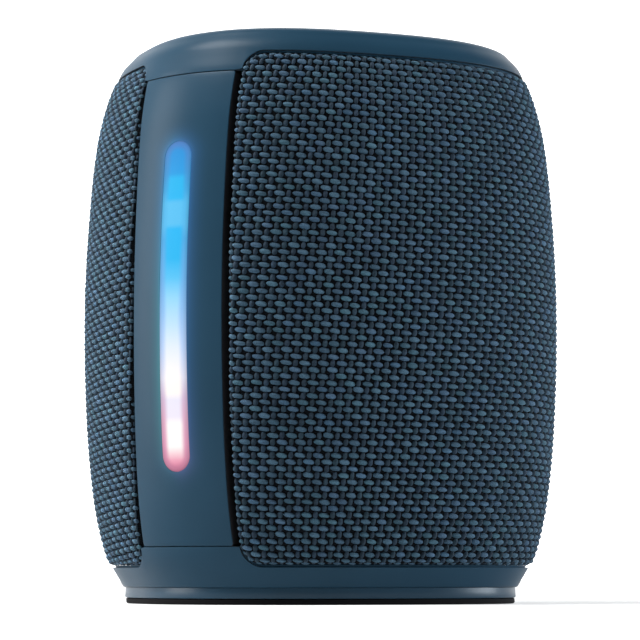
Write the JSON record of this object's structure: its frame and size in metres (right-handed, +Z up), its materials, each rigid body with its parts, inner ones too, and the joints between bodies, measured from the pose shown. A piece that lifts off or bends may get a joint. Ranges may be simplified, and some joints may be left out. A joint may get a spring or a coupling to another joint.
{
  "type": "party speaker",
  "caption": "Barrel-shaped portable speaker with wrap-around woven cloth grilles, corner light strips, top buttons, hinged port cover, driver and passive radiator.",
  "frame": {"origin": "centre of the foot pad's underside, on the floor", "axes": "+Z up through the cabinet's centre line, -Y out through the driver (front), +X to the right seen from the front"},
  "size_m": [0.098, 0.085, 0.118],
  "materials": {
    "navy_plastic": "satin moulded plastic, dark slate blue",
    "foot_plastic": "satin moulded plastic, darker blue",
    "black_rubber": "matte",
    "steel": "zinc plated",
    "lens": "translucent diffuser, lit",
    "circuit_board": "solder mask on glass-fibre board",
    "woven_cloth": "coarse plain-weave speaker cloth",
    "black_plastic": "satin",
    "foam": "closed-cell foam",
    "ferrite": "sintered ferrite",
    "copper_wire": "enamelled copper winding",
    "cone_paper": "coated paper",
    "spider_cloth": "resin-treated cloth",
    "gloss_plastic": "semi-gloss",
    "clear_plastic": "clear light pipe",
    "cell_wrap": "shrink-wrapped metal can"
  },
  "bodies": {
    "cabinet": {"top_cap": "navy_plastic", "base_shell": "navy_plastic", "led_column_front": "navy_plastic", "led_column_rear": "navy_plastic", "foot_ring": "foot_plastic", "foot_pad": "black_rubber", "base_screw_1": "steel", "base_screw_2": "steel", "base_screw_3": "steel", "base_screw_4": "steel", "led_lens_front": "lens", "led_lens_rear": "lens", "led_board_front": "circuit_board", "led_board_rear": "circuit_board", "grille_cloth_front": "woven_cloth", "grille_cloth_rear": "woven_cloth", "grille_frame_front": "black_plastic", "grille_frame_rear": "black_plastic", "enclosure_front": "black_plastic", "enclosure_rear": "black_plastic", "enclosure_gasket": "foam", "driver_gasket": "foam", "driver_basket": "steel", "driver_top_plate": "steel", "driver_magnet": "ferrite", "driver_yoke": "steel", "driver_surround": "black_rubber", "driver_spider": "spider_cloth", "driver_screw_1": "steel", "driver_screw_2": "steel", "driver_screw_3": "steel", "driver_screw_4": "steel", "radiator_frame": "black_plastic", "radiator_surround": "black_rubber", "control_panel": "gloss_plastic", "status_light": "clear_plastic", "battery_cell_1": "cell_wrap", "battery_cell_2": "cell_wrap", "battery_holder": "black_plastic", "main_board": "circuit_board", "port_tray": "black_plastic", "usb_c_socket": "steel", "aux_socket": "black_plastic", "port_board": "circuit_board", "button_board": "circuit_board"},
    "button_power_body": {"button_power": "black_rubber"},
    "button_bluetooth_body": {"button_bluetooth": "black_rubber"},
    "button_light_body": {"button_light": "black_rubber"},
    "button_volume_down_body": {"button_volume_down": "black_rubber"},
    "button_play_body": {"button_play": "black_rubber"},
    "button_volume_up_body": {"button_volume_up": "black_rubber"},
    "port_door_body": {"port_door": "black_rubber"},
    "driver_moving_body": {"driver_cone": "cone_paper", "driver_dust_cap": "cone_paper", "driver_voice_coil": "copper_wire"},
    "radiator_moving_body": {"radiator_plate": "steel"}
  },
  "joints": [
    {"name": "button_power_press", "type": "slide", "parent": "cabinet", "child": "button_power_body", "axis": [0, 0, -1], "range_m": [0, 0.0006], "stiffness_N_per_m": 2500},
    {"name": "button_bluetooth_press", "type": "slide", "parent": "cabinet", "child": "button_bluetooth_body", "axis": [0, 0, -1], "range_m": [0, 0.0006], "stiffness_N_per_m": 2500},
    {"name": "button_light_press", "type": "slide", "parent": "cabinet", "child": "button_light_body", "axis": [0, 0, -1], "range_m": [0, 0.0006], "stiffness_N_per_m": 2500},
    {"name": "button_volume_down_press", "type": "slide", "parent": "cabinet", "child": "button_volume_down_body", "axis": [0, 0, -1], "range_m": [0, 0.0006], "stiffness_N_per_m": 2500},
    {"name": "button_play_press", "type": "slide", "parent": "cabinet", "child": "button_play_body", "axis": [0, 0, -1], "range_m": [0, 0.0006], "stiffness_N_per_m": 2500},
    {"name": "button_volume_up_press", "type": "slide", "parent": "cabinet", "child": "button_volume_up_body", "axis": [0, 0, -1], "range_m": [0, 0.0006], "stiffness_N_per_m": 2500},
    {"name": "port_door_hinge", "type": "hinge", "parent": "cabinet", "child": "port_door_body", "pos_m": [0.03771, 0.02948, 0.027], "axis": [0.1, 0.0634, 0.993], "range_deg": [0, 110]},
    {"name": "driver_cone_travel", "type": "slide", "parent": "cabinet", "child": "driver_moving_body", "axis": [0, -1, 0], "range_m": [-0.002, 0.002], "stiffness_N_per_m": 1200, "deforming": ["driver_surround", "driver_spider"]},
    {"name": "radiator_travel", "type": "slide", "parent": "cabinet", "child": "radiator_moving_body", "axis": [0, 1, 0], "range_m": [-0.0025, 0.0025], "stiffness_N_per_m": 900, "deforming": ["radiator_surround"]}
  ]
}
